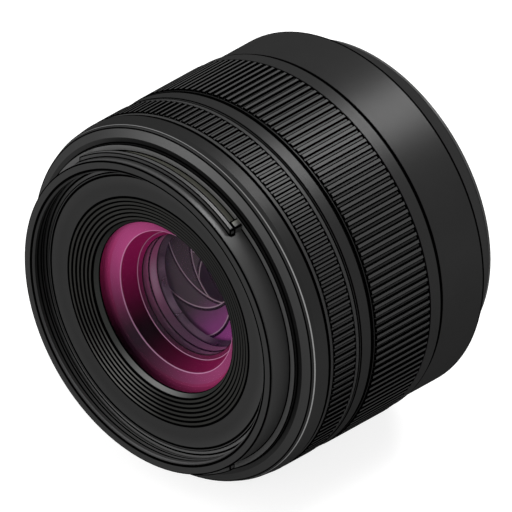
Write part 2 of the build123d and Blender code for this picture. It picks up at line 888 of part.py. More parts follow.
def blade_face():
    """Flat outline of one open blade whose pivot lies at angle 0."""
    inner = ThreePointArc(polar(blade_inner_r, blade_root_angle), polar(blade_inner_r, blade_shoulder_angle),
                          polar(blade_inner_r, blade_tip_angle))
    tip_in = polar(blade_inner_r, blade_tip_angle)
    tip_out = polar(blade_inner_r + blade_tip_width, blade_tip_angle)
    shoulder = polar(blade_outer_r, blade_shoulder_angle)
    between = polar(blade_inner_r + blade_tip_swell, (blade_shoulder_angle + blade_tip_angle) / 2)
    heel = polar(blade_outer_r, blade_root_angle)
    outer = ThreePointArc(shoulder, polar(blade_outer_r, (blade_shoulder_angle + blade_root_angle) / 2), heel)
    outline = [inner, Line(tip_in, tip_out), ThreePointArc(tip_out, between, shoulder), outer,
               Line(heel, polar(blade_inner_r, blade_root_angle))]
    face = make_face(outline)
    pin_x, pin_y = drive_pin_at(0)
    ears = Pos(pivot_circle_r, 0) * Circle(ear_r) + Pos(pin_x, pin_y) * Circle(ear_r)
    neck_r = blade_outer_r - neck_depth
    neck = make_face(Polyline([polar(neck_r, neck_start_angle), (pivot_circle_r, -ear_r),
                               (pivot_circle_r + ear_r, 0), (pin_x + ear_r, pin_y),
                               polar(neck_r, neck_end_angle)], close=True))
    return face + ears + neck


def iris_blade(index):
    """Blade at its rest angle. Each blade lies one layer nearer the front than the one before it."""
    low = blades_h + index * blade_pitch
    plate = Pos(0, 0, low) * extrude(blade_face(), blade_thick)
    pivot = rod(pivot_pin_r, pivot_circle_r, 0, iris_seat_h + plate_gap, low)
    pin_x, pin_y = drive_pin_at(0)
    drive = Pos(pin_x, pin_y) * rod(drive_pin_r, 0, 0, low + blade_thick, drive_front_h)
    blade = plate + pivot + drive
    closed = Pos(pivot_circle_r, 0, 0) * Rot(0, 0, blade_rest) * Pos(-pivot_circle_r, 0, 0) * blade
    return turned(closed, blade_first_angle + index * 360 / blade_count)


def iris_base():
    plate = tube(iris_opening_r, barrel_bore_r - tip_gap, iris_seat_h, base_front_h)
    pivot_hole = rod(pivot_pin_r + pin_gap, pivot_circle_r, 0, iris_seat_h - over, base_front_h + over)
    screw_holes = holes(seat_screw, seat_screw_circle_r, screw_count, iris_screw_angle, base_front_h,
                        iris_seat_h)
    return cut(plate, around(pivot_hole, blade_count, blade_first_angle) + screw_holes)


def iris_cover():
    """Cap with a short hood round the opening, and a window for the drive arm in its wall."""
    inner = cover_inner_r
    cap = lathe([
        (iris_opening_r, cover_rear_h),
        (inner, cover_rear_h),
        (inner, base_front_h),
        (cover_wall_r, base_front_h),
        (cover_wall_r, cover_front_h),
        (cover_hood_r, cover_front_h),
        (cover_hood_r, cover_top_h),
        (iris_opening_r + cover_flare, cover_top_h),
    ])
    half = degrees(asin(arm_width / 2 / inner)) + window_margin
    window = sector(inner - over, cover_wall_r + over, arm_angle - rest_turn - half,
                    arm_angle + click_count * click_step - rest_turn + half,
                    base_front_h - over, cover_rear_h)
    return cap - window


def seat_screws(first, head_h, tip_h):
    return solids(screws(seat_screw, seat_screw_circle_r, screw_count, first, head_h, tip_h))


# Focusing mechanism
def straight_slot():
    """Cutter for one straight slot of the guide barrel, from the rest place of the follower forward."""
    inner, outer = guide_r - over, guide_outer_r + over
    half = follower_r + pin_gap
    ends = [spoke(half, inner, outer, 0, follower_h), spoke(half, inner, outer, 0, follower_h + focus_travel)]
    return ends[0] + ends[1] + block(2 * half, inner, outer, 0, follower_h, follower_h + focus_travel)


def cam_slot():
    """Cutter for one helical slot of the cam barrel: forward as the angle falls."""
    inner, outer = cam_r - over, cam_outer_r + over
    half = follower_r + pin_gap
    pitch = focus_travel * 360 / focus_turn
    middle = (inner + outer) / 2
    path = Pos(0, 0, follower_h) * Helix(pitch, focus_travel, middle, lefthand=True)
    section = Plane.XZ * Rectangle(outer - inner, 2 * half)
    groove = sweep(Pos(middle, 0, follower_h) * section, path=path, is_frenet=True)
    ends = spoke(half, inner, outer, 0, follower_h)
    far = spoke(half, inner, outer, -focus_turn, follower_h + focus_travel)
    return groove + ends + far


def guide_barrel():
    outer = guide_outer_r
    shell = lathe([
        (guide_r, guide_rear_h),
        (outer, guide_rear_h),
        (outer, guide_flange_back_h),
        (barrel_bore_r - fit_gap, guide_flange_back_h),
        (barrel_bore_r - fit_gap, seat_rib_back_h),
        (guide_r, seat_rib_back_h),
    ])
    screw_holes = holes(seat_screw, seat_screw_circle_r, screw_count, guide_screw_angle, guide_flange_back_h,
                        seat_rib_back_h)
    return cut(shell, around(straight_slot(), follower_count, follower_angle) + screw_holes)


def cam_barrel():
    shell = tube(cam_r, cam_outer_r, cam_rear_h, cam_front_h)
    screw_hole = spoke(key_screw[0] + fit_gap, cam_r - over, cam_outer_r + over, focus_key_angle, focus_key_h)
    return cut(shell, around(cam_slot(), follower_count, follower_angle) + [screw_hole])


def cam_stop_ring():
    low = guide_rear_h + ring_gap
    return tube(guide_outer_r + fit_gap, cam_stop_r, low, low + cam_stop_thick)


def focus_key():
    """Block that joins the cam barrel to the focus ring through the barrel's window."""
    low, high = focus_key_h - focus_key_len / 2, focus_key_h + focus_key_len / 2
    body = block(focus_key_width, cam_r, focus_key_top_r, focus_key_angle, low, high)
    body = body - tube(cam_r - over, cam_outer_r + fit_gap, low - over, high + over)
    body = body - spoke(key_screw[0] + fit_gap, cam_r, focus_key_top_r, focus_key_angle, focus_key_h)
    head_low = focus_key_top_r - key_screw[2] - tip_gap
    head_hole = spoke(key_screw[1] + head_gap, head_low, focus_key_top_r + over, focus_key_angle, focus_key_h)
    return body - head_hole


def focus_key_screw():
    head_low = focus_key_top_r - key_screw[2] - tip_gap
    shank = spoke(key_screw[0], cam_r + tip_gap, head_low, focus_key_angle, focus_key_h)
    return shank + spoke(key_screw[1], head_low, head_low + key_screw[2], focus_key_angle, focus_key_h)


def focus_ring():
    inner = land_r + run_gap
    lip_r = barrel_r - lip_inset
    grip_low = focus_rear_h + focus_rear_lip
    grip_high = focus_front_h - focus_front_lip
    ring = lathe([
        (inner, focus_rear_h),
        (lip_r - edge_chamfer, focus_rear_h),
        (lip_r, focus_rear_h + edge_chamfer),
        (lip_r, grip_low),
        (focus_core_r, grip_low),
        (focus_core_r, grip_high),
        (lip_r, grip_high),
        (lip_r, focus_front_h - edge_chamfer),
        (lip_r - edge_chamfer, focus_front_h),
        (inner, focus_front_h),
    ])
    keyway = block(focus_key_width + 2 * fit_gap, inner - over, focus_key_top_r + fit_gap, focus_key_angle,
                   focus_rear_h - over, focus_key_h + focus_key_len / 2 + fit_gap)
    return ring - keyway


def focus_grip():
    low = focus_rear_h + focus_rear_lip + fit_gap
    high = focus_front_h - focus_front_lip - fit_gap
    root_r = barrel_r - focus_grip_depth
    return ribbed(focus_ribs, focus_rib_share, focus_core_r + fit_gap, root_r, barrel_r, low, high)


def focus_carriage():
    """Sleeve, web and hub that carry the focusing glass."""
    web_rear = carriage_web_front_h - carriage_web_len
    sleeve_in = carriage_r - carriage_wall
    front_seat = doublet_rear_h
    rear_seat = fifth_front_h
    shell = lathe([
        (carriage_r, carriage_rear_h),
        (carriage_r, carriage_front_h),
        (sleeve_in, carriage_front_h),
        (sleeve_in, carriage_web_front_h),
        (carriage_hub_r, carriage_web_front_h),
        (carriage_hub_r, hub_front_h),
        (doublet_r + fit_gap, hub_front_h),
        (doublet_r + fit_gap, front_seat),
        (doublet_bore_r, front_seat),
        (doublet_bore_r, rear_seat),
        (fifth_r + fit_gap, rear_seat),
        (fifth_r + fit_gap, hub_rear_h),
        (carriage_hub_r, hub_rear_h),
        (carriage_hub_r, web_rear),
        (sleeve_in, web_rear),
        (sleeve_in, carriage_rear_h),
    ])
    pin_hole = spoke(follower_r + fit_gap, sleeve_in - over, carriage_r + over, 0, follower_h)
    return cut(shell, around(pin_hole, follower_count, follower_angle))


def follower_pins():
    pin = spoke(follower_r, carriage_r - carriage_wall + tip_gap, cam_outer_r - tip_gap, 0, follower_h)
    return solids(around(pin, follower_count, follower_angle))


def doublet_front():
    return glass(doublet_r, doublet_bore_r, doublet_front_h, doublet_front_h - doublet_front_edge,
                 doublet_front_curve, doublet_cement_curve)


def doublet_rear():
    return glass(doublet_r, doublet_bore_r, doublet_front_h - doublet_front_edge - cement_gap, doublet_rear_h,
                 doublet_cement_curve, doublet_rear_curve)


def fifth_glass():
    return glass(fifth_r, fifth_clear_r, fifth_front_h, fifth_front_h - fifth_edge,
                 fifth_front_curve, fifth_rear_curve)


def doublet_ring():
    return tube(doublet_r - glass_ring_wall, doublet_r, doublet_front_h, hub_front_h - tip_gap)


def fifth_ring():
    high = fifth_front_h - fifth_edge
    return tube(fifth_r - glass_ring_wall, fifth_r, high - glass_ring_len, high)


# Rear barrel, mount and electrics
def rear_barrel():
    recess_r = mount_ring_r + fit_gap
    shell = lathe([
        (land_r + fit_gap, rear_front_h),
        (rear_barrel_r - edge_chamfer, rear_front_h),
        (rear_barrel_r, rear_front_h - edge_chamfer),
        (rear_barrel_r, taper_h),
        (rear_end_r, shell_rear_h),
        (recess_r, shell_rear_h),
        (recess_r, web_rear_h),
        (web_bore_r, web_rear_h),
        (web_bore_r, web_front_h),
        (land_r + fit_gap, web_front_h),
    ])
    post = rod(standoff_r, standoff_circle_r, 0, web_front_h, board_h)
    for piece in around(post, screw_count, board_screw_angle):
        shell = shell + piece
    taps = holes(barrel_screw, barrel_screw_circle_r, screw_count, barrel_screw_angle,
                 web_rear_h + barrel_screw[2], web_front_h, barrel_screw[2])
    taps += holes(mount_screw, mount_screw_circle_r, mount_screw_count, mount_screw_angle, web_rear_h,
                  web_rear_h + mount_screw_bite + tip_gap)
    taps += holes(cell_screw, cell_screw_circle_r, screw_count, cell_screw_angle, web_front_h,
                  web_front_h - cell_screw_bite - tip_gap)
    taps += holes(board_screw, standoff_circle_r, screw_count, board_screw_angle, board_h,
                  board_h - board_screw_bite - tip_gap)
    flex_slot = block(flex_width + 2 * flex_gap, flex_circle_r - flex_gap,
                      flex_circle_r + flex_thick + flex_gap, contact_block_angle,
                      web_rear_h - over, web_front_h + over)
    return cut(shell, taps + [flex_slot])


def mount_ring():
    """Bayonet: flange, spigot and three lugs, with countersunk places for four screws."""
    ring = lathe([
        (mount_bore_r, web_rear_h),
        (mount_ring_r, web_rear_h),
        (mount_ring_r, edge_chamfer),
        (mount_ring_r - edge_chamfer, 0),
        (spigot_outer_r, 0),
        (spigot_outer_r, -spigot_len + edge_chamfer),
        (spigot_outer_r - edge_chamfer, -spigot_len),
        (mount_bore_r, -spigot_len),
    ])
    lug_rear = -bayonet_lug_start - bayonet_lug_len
    lug = sector(spigot_outer_r - lug_root_depth, bayonet_lug_r, -bayonet_lug_angle / 2,
                 bayonet_lug_angle / 2, lug_rear, -bayonet_lug_start)
    for piece in around(lug, bayonet_lug_count, 90):
        ring = ring + piece
    taps = holes(mount_screw, mount_screw_circle_r, mount_screw_count, mount_screw_angle, mount_screw[2],
                 web_rear_h, mount_screw[2] + over)
    lock = rod(lock_hole_r, lock_hole_circle_r, lock_hole_angle, -over, lock_hole_depth)
    return cut(ring, taps + [lock])


def mount_gasket():
    inner = mount_ring_r + fit_gap
    return tube(inner, inner + gasket_width, shell_rear_h - gasket_proud, shell_rear_h)


def rear_cell():
    outer = web_bore_r - fit_gap
    inner = rear_glass_r + fit_gap
    bore = rear_glass_r - rear_glass_ledge
    step_r = outer - rear_cell_step
    flange_h = web_front_h + rear_cell_flange_thick
    shell = lathe([
        (outer, rear_cell_rear_h + rear_cover_thick),
        (outer, web_front_h),
        (rear_cell_flange_r, web_front_h),
        (rear_cell_flange_r, flange_h),
        (bore, flange_h),
        (bore, rear_glass_front_h),
        (inner, rear_glass_front_h),
        (inner, rear_cell_rear_h),
        (step_r, rear_cell_rear_h),
        (step_r, rear_cell_rear_h + rear_cover_thick),
    ])
    taps = holes(cell_screw, cell_screw_circle_r, screw_count, cell_screw_angle, flange_h, web_front_h)
    notch = block(flex_width + 2 * flex_gap, flex_circle_r - flex_gap, rear_cell_flange_r + over,
                  contact_block_angle, web_front_h - over, flange_h + over)
    return cut(shell, taps + [notch])


def rear_glass():
    return glass(rear_glass_r, rear_glass_r - rear_glass_ledge, rear_glass_front_h,
                 rear_glass_front_h - rear_glass_edge, rear_glass_front_curve, rear_glass_rear_curve)


def rear_retaining_ring():
    high = rear_glass_front_h - rear_glass_edge
    return tube(rear_glass_r - rear_glass_ledge, rear_glass_r, high - rear_ring_len, high)


def rear_cover():
    """Light shield round the rear cell, inside the spigot."""
    ring = tube(web_bore_r - rear_cell_step, mount_bore_r - fit_gap, rear_cell_rear_h,
                rear_cell_rear_h + rear_cover_thick)
    gap = sector(contact_block_inner_r - block_gap, mount_bore_r + over,
                 contact_block_angle - contact_block_half - block_gap_angle,
                 contact_block_angle + contact_block_half + block_gap_angle, rear_cell_rear_h - over, 0)
    return ring - gap


def contact_block():
    return sector(contact_block_inner_r, mount_bore_r - fit_gap, contact_block_angle - contact_block_half,
                  contact_block_angle + contact_block_half, contact_block_end_h, web_rear_h)


def contacts():
    first = contact_block_angle - contact_spacing * (contact_count - 1) / 2
    pins = [rod(contact_r, contact_circle_r, first + i * contact_spacing, contact_block_end_h - contact_proud,
                contact_block_end_h) for i in range(contact_count)]
    return solids(pins)


def circuit_board():
    board = tube(board_inner_r, board_outer_r, board_h, board_h + board_thick)
    return cut(board, holes(board_screw, standoff_circle_r, screw_count, board_screw_angle,
                            board_h + board_thick, board_h))


def chips():
    length, width, height = chip_size
    made = []
    for angle in chip_angles:
        x, y = polar((board_inner_r + board_outer_r) / 2, angle)
        made.append(Pos(x, y, board_h - height / 2) * Rot(0, 0, angle) * Box(length, width, height))
    return solids(made)


def flex_cable():
    """Flat printed cable from the board's rear face, through the web, to the contact block."""
    along = block(flex_width, flex_circle_r, board_inner_r + flex_lap, contact_block_angle,
                  board_h - flex_thick, board_h)
    down = block(flex_width, flex_circle_r, flex_circle_r + flex_thick, contact_block_angle,
                 web_rear_h, board_h)
    return along + down


def barrel_screws():
    return solids(screws(barrel_screw, barrel_screw_circle_r, screw_count, barrel_screw_angle,
                         web_rear_h + barrel_screw[2], web_front_h + rear_flange_thick - tip_gap))


def mount_screws():
    return solids(screws(mount_screw, mount_screw_circle_r, mount_screw_count, mount_screw_angle,
                         mount_screw[2], web_rear_h + mount_screw_bite))


def rear_cell_screws():
    return solids(screws(cell_screw, cell_screw_circle_r, screw_count, cell_screw_angle,
                         web_front_h + rear_cell_flange_thick, web_front_h - cell_screw_bite))


def board_screws():
    return solids(screws(board_screw, standoff_circle_r, screw_count, board_screw_angle,
                         board_h + board_thick, board_h - board_screw_bite))


def write_parts():
    save("front_ring", front_ring())
    save("front_screws", front_screws())
    save("name_ring", name_ring())
    save("front_baffle", front_baffle())
    save("front_retaining_ring", front_retaining_ring())
    save("front_element", front_glass())
    save("front_cell", front_cell())
    save("second_element", second_glass())
    save("second_retaining_ring", second_retaining_ring())
    save("main_barrel", main_barrel())
    save("aperture_ring", aperture_ring())
    save("aperture_key", aperture_key())
    save("iris_drive_ring", iris_drive_ring())
    save("iris_base_plate", iris_base())
    save("iris_cover", iris_cover())
    save("iris_screws", seat_screws(iris_screw_angle, base_front_h, iris_seat_h - seat_screw_bite))
    for index in range(blade_count):
        save(f"iris_blade_{index + 1}", iris_blade(index))
    save("click_ball", click_ball())
    save("click_spring", click_spring())
    save("guide_barrel", guide_barrel())
    save("guide_screws", seat_screws(guide_screw_angle, guide_flange_back_h,
                                     seat_rib_back_h + seat_screw_bite))
    save("cam_barrel", cam_barrel())
    save("cam_stop_ring", cam_stop_ring())
    save("focus_key", focus_key())
    save("focus_key_screw", focus_key_screw())
    save("focus_ring", focus_ring())
    save("focus_grip", focus_grip())
    save("focus_carriage", focus_carriage())
    save("follower_pins", follower_pins())
    save("doublet_front_element", doublet_front())
    save("doublet_rear_element", doublet_rear())
    save("doublet_retaining_ring", doublet_ring())
    save("fifth_element", fifth_glass())
    save("fifth_retaining_ring", fifth_ring())
    save("rear_barrel", rear_barrel())
    save("barrel_screws", barrel_screws())
    save("mount_ring", mount_ring())
    save("mount_screws", mount_screws())
    save("mount_gasket", mount_gasket())
    save("rear_cell", rear_cell())
    save("rear_cell_screws", rear_cell_screws())
    save("rear_element", rear_glass())
    save("rear_retaining_ring", rear_retaining_ring())
    save("rear_cover", rear_cover())
    save("contact_block", contact_block())
    save("contacts", contacts())
    save("circuit_board", circuit_board())
    save("board_screws", board_screws())
    save("circuit_chips", chips())
    save("flex_cable", flex_cable())


write_parts()
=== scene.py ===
import json
import math
import bpy
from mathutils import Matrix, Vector


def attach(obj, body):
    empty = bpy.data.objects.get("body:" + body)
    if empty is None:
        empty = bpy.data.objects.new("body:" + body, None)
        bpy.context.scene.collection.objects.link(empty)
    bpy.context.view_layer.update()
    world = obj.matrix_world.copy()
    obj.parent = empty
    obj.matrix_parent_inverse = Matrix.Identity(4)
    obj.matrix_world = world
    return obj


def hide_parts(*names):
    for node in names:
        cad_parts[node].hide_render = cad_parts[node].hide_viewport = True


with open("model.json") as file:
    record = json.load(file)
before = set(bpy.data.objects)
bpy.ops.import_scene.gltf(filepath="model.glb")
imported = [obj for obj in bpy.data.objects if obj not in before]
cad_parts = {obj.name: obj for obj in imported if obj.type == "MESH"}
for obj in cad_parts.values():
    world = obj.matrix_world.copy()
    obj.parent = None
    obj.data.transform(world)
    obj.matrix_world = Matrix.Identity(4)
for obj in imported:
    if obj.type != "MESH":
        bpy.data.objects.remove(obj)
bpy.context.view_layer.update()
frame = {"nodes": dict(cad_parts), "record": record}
nodes = frame["nodes"]

MM = 0.001

# Sizes in mm: _R a radius, _X a distance sideways, _H a station forward from the camera mount's plane
RIM_H = 48.93
RIM_INNER_R = 24.56
FILTER_R = 24.1
THREAD_LINES_H = (47.86, 47.1, 46.6)
THREAD_FOOT_R = 23.75
THREAD_FOOT_H = 46.23
LAND_R = 26.0
LUG_R = 26.75
LUG_FRONT_H = 47.27
LUG_REAR_H = 46.28
LUG_END_X = 15.9
LUG_STOP_X = 14.84
FLANGE_R = 27.07
FLANGE_H = 44.66
CONE_R = 27.92
CONE_H = 44.01
CREST_R = 29.45
CREST_H = 43.35
BARREL_R = 30.0
FRONT_REAR_H = 39.95

NAME_H = 46.43
NAME_R = 23.18
NAME_GROOVE_R = 22.65
NAME_MIDDLE_R = 20.5
BAFFLE_R = 19.0
BAFFLE_STEPS = 6
BAFFLE_STEP = 0.69
BAFFLE_FALL = 0.15
RETAINER_R = 14.84
RETAINER_H = 45.43
GLASS_R = 14.15
GLASS_EDGE_H = 44.58

GLASS_SEAT_H = 43.18
OFF_SEAT = 0.03
CELL_RIM_R = 13.4
LEDGE_R = 11.8
LEDGE_H = 42.4
CELL_BORE_R = 9.9
CELL_BORE_FRONT_H = 39.25
SECOND_SEAT_H = 38.1
CELL_BORE_REAR_H = 36.2
STREAK_FRONT_H = 37.8
STREAK_REAR_H = 36.5
SECOND_RING_R = 9.94
SECOND_BEVEL_R = 10.62
SECOND_RING_LINES_H = (39.43, 39.33)
HOOD_R = 9.85
HOOD_H = 36.01
COVER_R = 9.35
COVER_H = 35.11

APERTURE_EDGE_R = 29.8
APERTURE_FRONT_H = 39.83
APERTURE_RIBS_FRONT_H = 38.88
APERTURE_RIBS_REAR_H = 34.03
APERTURE_REAR_H = 33.03
BAND_EDGE_R = 29.9
BAND_FRONT_H = 32.91
BAND_REAR_H = 30.41
FOCUS_EDGE_R = 29.85
FOCUS_FRONT_H = 30.29
FOCUS_REAR_H = 14.69
GRIP_R = 29.98
GRIP_FRONT_H = 29.54
GRIP_REAR_H = 17.44
REAR_EDGE_R = 29.56
REAR_FRONT_H = 14.57
TAPER_H = 5.07
TAPER_FOOT_R = 26.58
TAPER_FOOT_H = 0.8

BLADES = 7
BLADE_PIVOT_R = 17.2
BLADE_EDGE_R = 9.87
FIRST_BLADE_ANGLE = 18.3
# Degrees that the aperture ring stands from open, and that it turns for each degree of a blade
RING_FROM_OPEN = 33.75
RING_PER_BLADE = 1.5734

INK = "030303"
WHITE = "ffffff"
LINE_SOFT = 0.04
NOISE_LOW = 0.3
NOISE_HIGH = 0.7


def tone(text):
    """Linear colour of a six-digit screen colour."""
    parts = [int(text[i:i + 2], 16) / 255 for i in (0, 2, 4)]
    return tuple(p / 12.92 if p <= 0.04045 else ((p + 0.055) / 1.055) ** 2.4 for p in parts) + (1.0,)


# Shader maths
class Value:
    """One output of a node. Arithmetic on it adds math nodes."""

    def __init__(self, net, socket):
        self.net = net
        self.socket = socket

    def output(self, name):
        """Another output of the same node."""
        return Value(self.net, self.socket.node.outputs[name])

    def __add__(self, other):
        return self.net.math("ADD", self, other)

    def __sub__(self, other):
        return self.net.math("SUBTRACT", self, other)

    def __rsub__(self, other):
        return self.net.math("SUBTRACT", other, self)

    def __mul__(self, other):
        return self.net.math("MULTIPLY", self, other)

    __radd__ = __add__
    __rmul__ = __mul__


class Net:
    """A node tree that is emptied and built anew."""

    def __init__(self, tree):
        self.tree = tree
        self.tree.nodes.clear()

    def node(self, kind, sockets=None, output=0, **settings):
        """A new node: its settings first, then its sockets, each a number, a screen colour or a link."""
        made = self.tree.nodes.new(kind)
        for name, value in settings.items():
            setattr(made, name, value)
        for name, value in (sockets or {}).items():
            if isinstance(value, Value):
                self.tree.links.new(value.socket, made.inputs[name])
            else:
                made.inputs[name].default_value = tone(value) if isinstance(value, str) else value
        return Value(self, made.outputs[output]) if made.outputs else None

    def math(self, kind, *values):
        return self.node("ShaderNodeMath", dict(enumerate(values)), operation=kind)

    def either(self, *masks):
        """The strongest of several masks."""
        most = masks[0]
        for mask in masks[1:]:
            most = self.math("MAXIMUM", most, mask)
        return most

    def mix(self, first, second, factor):
        """A mix of two colours."""
        return self.node("ShaderNodeMix", {0: factor, 6: first, 7: second}, output=2, data_type="RGBA")

    def blend(self, first, second, factor):
        """A mix of two shaders."""
        return self.node("ShaderNodeMixShader", {0: factor, 1: first, 2: second})

    def seen(self):
        """1 for what the camera sees, also by way of metal and glass."""
        path = self.node("ShaderNodeLightPath")
        kinds = ("Camera", "Glossy", "Transmission")
        return self.either(*[path.output("Is %s Ray" % kind) for kind in kinds])


class Finish(Net):
    """The node tree of one new material. It knows where on the lens each point is, in mm and degrees."""

    def __init__(self, name):
        self.material = bpy.data.materials.new(name)
        self.material.use_nodes = True
        super().__init__(self.material.node_tree)
        self.here = self.node("ShaderNodeTexCoord", output="Object")
        split = self.node("ShaderNodeSeparateXYZ", {0: self.here})
        self.x = split.output("X") * (1.0 / MM)
        self.z = split.output("Z") * (1.0 / MM)
        self.ahead = split.output("Y") * (-1.0 / MM)
        self.r = self.math("SQRT", self.x * self.x + self.z * self.z)
        self.turn = self.math("ARCTAN2", self.z, self.x) * math.degrees(1.0)
        self.profile = self.point(self.r, self.ahead)

    def point(self, first, second):
        return self.node("ShaderNodeCombineXYZ", {0: first, 1: second})

    def ramp(self, value, low, high, start=0.0, end=1.0):
        """start below low, end above high, and smooth between them."""
        limits = {"From Min": low, "From Max": high, "To Min": start, "To Max": end}
        return self.node("ShaderNodeMapRange", {"Value": value, **limits}, interpolation_type="SMOOTHSTEP")

    def past(self, value, edge, soft):
        """0 before an edge and 1 past it, and smooth over soft to either side."""
        return self.ramp(value, edge - soft, edge + soft)

    def band(self, value, low, high, soft):
        """1 between low and high, and 0 outside them."""
        return self.past(value, low, soft) * (1.0 - self.past(value, high, soft))

    def noise(self, scale, detail, place=None):
        sockets = {"Vector": place or self.here, "Scale": scale, "Detail": detail}
        return self.node("ShaderNodeTexNoise", sockets)

    def spread(self, noise, start=0.0, end=1.0):
        """Noise drawn out, so that it goes all the way from start to end."""
        return self.ramp(noise, NOISE_LOW, NOISE_HIGH, start, end)

    def near(self, place, points, half):
        """1 within half a line's width of the nearest of these points, in the plane that place spans."""
        nearest = None
        for first, second in points:
            gap = self.node("ShaderNodeVectorMath", {0: place, 1: (first, second, 0.0)}, output="Value",
                            operation="DISTANCE")
            nearest = gap if nearest is None else self.math("MINIMUM", nearest, gap)
        return 1.0 - self.past(nearest, half, LINE_SOFT)

    def circles(self, corners, half=0.19):
        """Lines along circles round the axis, each given as radius and station."""
        return self.near(self.profile, corners, half)

    def catch(self, angle, width):
        """1 at an angle round the axis, falling to nothing this many degrees to either side."""
        away = self.math("ARCCOSINE", self.math("COSINE", (self.turn - angle) * math.radians(1.0)))
        return self.ramp(away * math.degrees(1.0), 0.0, width, 1.0, 0.0)

    def stripes(self, count, share, half):
        """1 along both edges of each rib, and 1 on the ribs, which take this share of their pitch."""
        phase = self.math("FRACT", self.turn * (count / 360.0) + count)
        pitch = 2.0 * math.pi * BARREL_R / count
        start = self.math("PINGPONG", phase, 0.5) * pitch
        end = self.math("ABSOLUTE", phase - share) * pitch
        edges = 1.0 - self.past(self.math("MINIMUM", start, end), half, soft=0.03)
        return edges, 1.0 - self.past(phase, share, soft=0.01)

    def bump(self, height, distance, strength=1.0):
        sockets = {"Height": height, "Distance": distance * MM, "Strength": strength}
        return self.node("ShaderNodeBump", sockets)

    def surface(self, **values):
        """Principled surface. Names are the socket names with _ for a space."""
        return self.node("ShaderNodeBsdfPrincipled", {k.replace("_", " "): v for k, v in values.items()})

    def out(self, shader):
        """The material, finished."""
        self.node("ShaderNodeOutputMaterial", {"Surface": shader})
        return self.material


# Outer finishes
def coat(net, light, dark, grain=0.3):
    """Two close tones in slow clouds with a fine grain on top, and the grain itself."""
    cloud = net.noise(scale=60.0, detail=4.0)
    fine = net.noise(scale=9000.0, detail=2.0)
    base = net.mix(dark, light, net.spread(cloud))
    return net.mix(base, light, net.ramp(fine, 0.35, 0.7) * grain), fine


def matt(net, base, fine, lines, rough=0.38, grain=0.4, sheen=0.0115):
    """Matt black metal: a dull body with a little wide sheen, and dark lines at its edges."""
    normal = net.bump(fine, distance=0.02, strength=grain)
    body = net.surface(Base_Color=net.mix(base, INK, lines), Specular_IOR_Level=0.0, Normal=normal)
    gloss = net.surface(Base_Color=WHITE, Metallic=1.0, Normal=normal,
                        Roughness=net.spread(fine, rough - 0.05, rough + 0.05))
    return net.blend(body, gloss, net.ramp(lines, 0.0, 1.0, sheen, 0.0))


def lug_lines(net):
    """Dark lines along the edges of the two hood lugs."""
    across = net.math("ABSOLUTE", net.x)
    hand = net.x * net.math("SIGN", net.z)
    ridge = net.circles([(LUG_R, LUG_FRONT_H), (LAND_R, LUG_FRONT_H), (LAND_R, LUG_REAR_H)], half=0.16)
    heel = net.circles([(LUG_R, LUG_REAR_H)], half=0.25)
    along = net.either(ridge, heel) * net.ramp(across, LUG_END_X, LUG_END_X + 0.15, 1.0, 0.0)
    ridge_end = net.near(net.point(across, net.r), [(LUG_END_X, LUG_R), (LUG_END_X, LAND_R)], half=0.2)
    ridge_end = ridge_end * net.band(net.ahead, LUG_REAR_H, LUG_FRONT_H, soft=0.03)
    stop = net.near(net.point(hand, net.r), [(LUG_END_X, LUG_R), (LUG_STOP_X, LUG_R), (LUG_STOP_X, LAND_R)],
                    half=0.18)
    stop = stop * net.band(net.ahead, FLANGE_H, LUG_REAR_H, soft=0.03)
    corner = net.near(net.point(across, net.ahead), [(LUG_END_X, LUG_FRONT_H), (LUG_END_X, LUG_REAR_H)],
                      half=0.2)
    corner = corner * net.past(net.r, LAND_R + 0.07, soft=0.03)
    return net.either(along, ridge_end, stop, corner)


